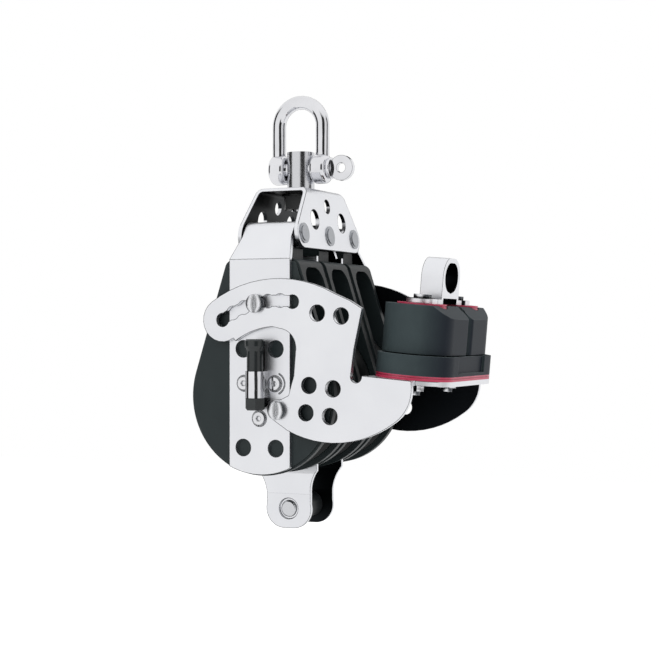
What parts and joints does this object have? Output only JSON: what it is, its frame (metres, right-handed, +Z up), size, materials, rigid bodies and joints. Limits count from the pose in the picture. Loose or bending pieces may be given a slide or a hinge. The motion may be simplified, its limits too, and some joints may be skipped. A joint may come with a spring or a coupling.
{
  "type": "triple ratchet block",
  "caption": "Swivelling rope block with ratchet sheave, becket and a swinging cam cleat arm, hung from a bow shackle.",
  "frame": {"origin": "seat at the inside top of the shackle bow, where the block hangs", "axes": "+Z up the shackle, +X to the cam cleat, +Y away from the ratchet switch"},
  "size_m": [0.1373, 0.1153, 0.2298],
  "materials": {
    "bow_steel": "polished stainless",
    "plate_steel": "mirror polished stainless plate",
    "pin_steel": "machined stainless",
    "cheek_plastic": "satin moulded, glass filled",
    "sheave_plastic": "satin moulded",
    "cam_plastic": "satin moulded, carbon filled",
    "red_plastic": "moulded, semi gloss",
    "acetal": "turned"
  },
  "bodies": {
    "shackle": {"shackle_bow": "bow_steel", "shackle_pin": "bow_steel"},
    "post": {"swivel_post": "bow_steel", "post_nut": "pin_steel", "swivel_washer": "acetal"},
    "block": {"head_bracket": "plate_steel", "head_pin_front": "pin_steel", "head_pin_middle": "pin_steel", "head_pin_rear": "pin_steel", "strap_front": "plate_steel", "strap_inner_front": "plate_steel", "strap_inner_rear": "plate_steel", "strap_rear": "plate_steel", "cheek_1_front": "cheek_plastic", "cheek_1_rear": "cheek_plastic", "cheek_2_front": "cheek_plastic", "cheek_2_rear": "cheek_plastic", "cheek_3_front": "cheek_plastic", "cheek_3_rear": "cheek_plastic", "race_1": "pin_steel", "race_2": "pin_steel", "race_3": "pin_steel", "axle": "pin_steel", "hub_screws": "pin_steel", "switch_sleeve": "bow_steel", "pawl_pin": "pin_steel", "becket_pin": "pin_steel", "becket_bush": "acetal", "pivot_screws": "bow_steel", "slot_screws": "bow_steel", "arm_washers": "acetal"},
    "sheave_a": {"sheave_1": "sheave_plastic", "balls_1": "pin_steel"},
    "sheave_b": {"sheave_2": "sheave_plastic", "balls_2": "pin_steel"},
    "sheave_c": {"sheave_3": "sheave_plastic", "balls_3": "pin_steel"},
    "switch": {"switch_stem": "cheek_plastic"},
    "ratchet_pawl": {"pawl": "pin_steel"},
    "arm": {"arm_bracket": "plate_steel", "base_wear_plate": "red_plastic", "cleat_base": "cam_plastic", "cam_posts": "pin_steel", "cam_springs": "pin_steel", "cam_washers": "red_plastic", "eyestrap": "bow_steel", "cleat_screws": "bow_steel", "cleat_nuts": "pin_steel"},
    "cam_a": {"cam_front": "cam_plastic"},
    "cam_b": {"cam_rear": "cam_plastic"}
  },
  "joints": [
    {"name": "shackle_swing", "type": "hinge", "parent": "shackle", "child": "post", "pos_m": [0, 0, -0.0323], "axis": [1, 0, 0], "range_deg": [-90, 90]},
    {"name": "swivel", "type": "hinge", "parent": "post", "child": "block", "pos_m": [0, 0, -0.0471], "axis": [0, 0, 1], "continuous": true},
    {"name": "sheave_front_spin", "type": "hinge", "parent": "block", "child": "sheave_a", "pos_m": [0, -0.032, -0.1521], "axis": [0, 1, 0], "continuous": true},
    {"name": "sheave_middle_spin", "type": "hinge", "parent": "block", "child": "sheave_b", "pos_m": [0, 0, -0.1521], "axis": [0, 1, 0], "continuous": true},
    {"name": "sheave_rear_spin", "type": "hinge", "parent": "block", "child": "sheave_c", "pos_m": [0, 0.032, -0.1521], "axis": [0, 1, 0], "continuous": true},
    {"name": "ratchet_switch", "type": "slide", "parent": "block", "child": "switch", "axis": [0, 0, -1], "range_m": [0, 0.01]},
    {"name": "pawl_turn", "type": "hinge", "parent": "block", "child": "ratchet_pawl", "pos_m": [0.0135, -0.04, -0.136], "axis": [0, -1, 0], "range_deg": [0, 15]},
    {"name": "arm_tilt", "type": "hinge", "parent": "block", "child": "arm", "pos_m": [0.0116, 0, -0.1586], "axis": [0, -1, 0], "range_deg": [-21.6, 21.6]},
    {"name": "cam_front_turn", "type": "hinge", "parent": "arm", "child": "cam_a", "pos_m": [0.07711, -0.024, -0.12237], "axis": [-0.0853, 0, -0.9964], "range_deg": [0, 35], "stiffness_Nm_per_rad": 0.02, "springref_deg": -28.65},
    {"name": "cam_rear_turn", "type": "hinge", "parent": "arm", "child": "cam_b", "pos_m": [0.07711, 0.024, -0.12237], "axis": [0.0853, 0, 0.9964], "range_deg": [0, 35], "stiffness_Nm_per_rad": 0.02, "springref_deg": -28.65}
  ],
  "couplings": [
    {"joint": "pawl_turn", "follows": "ratchet_switch", "rad_per_m": 26.18}
  ]
}
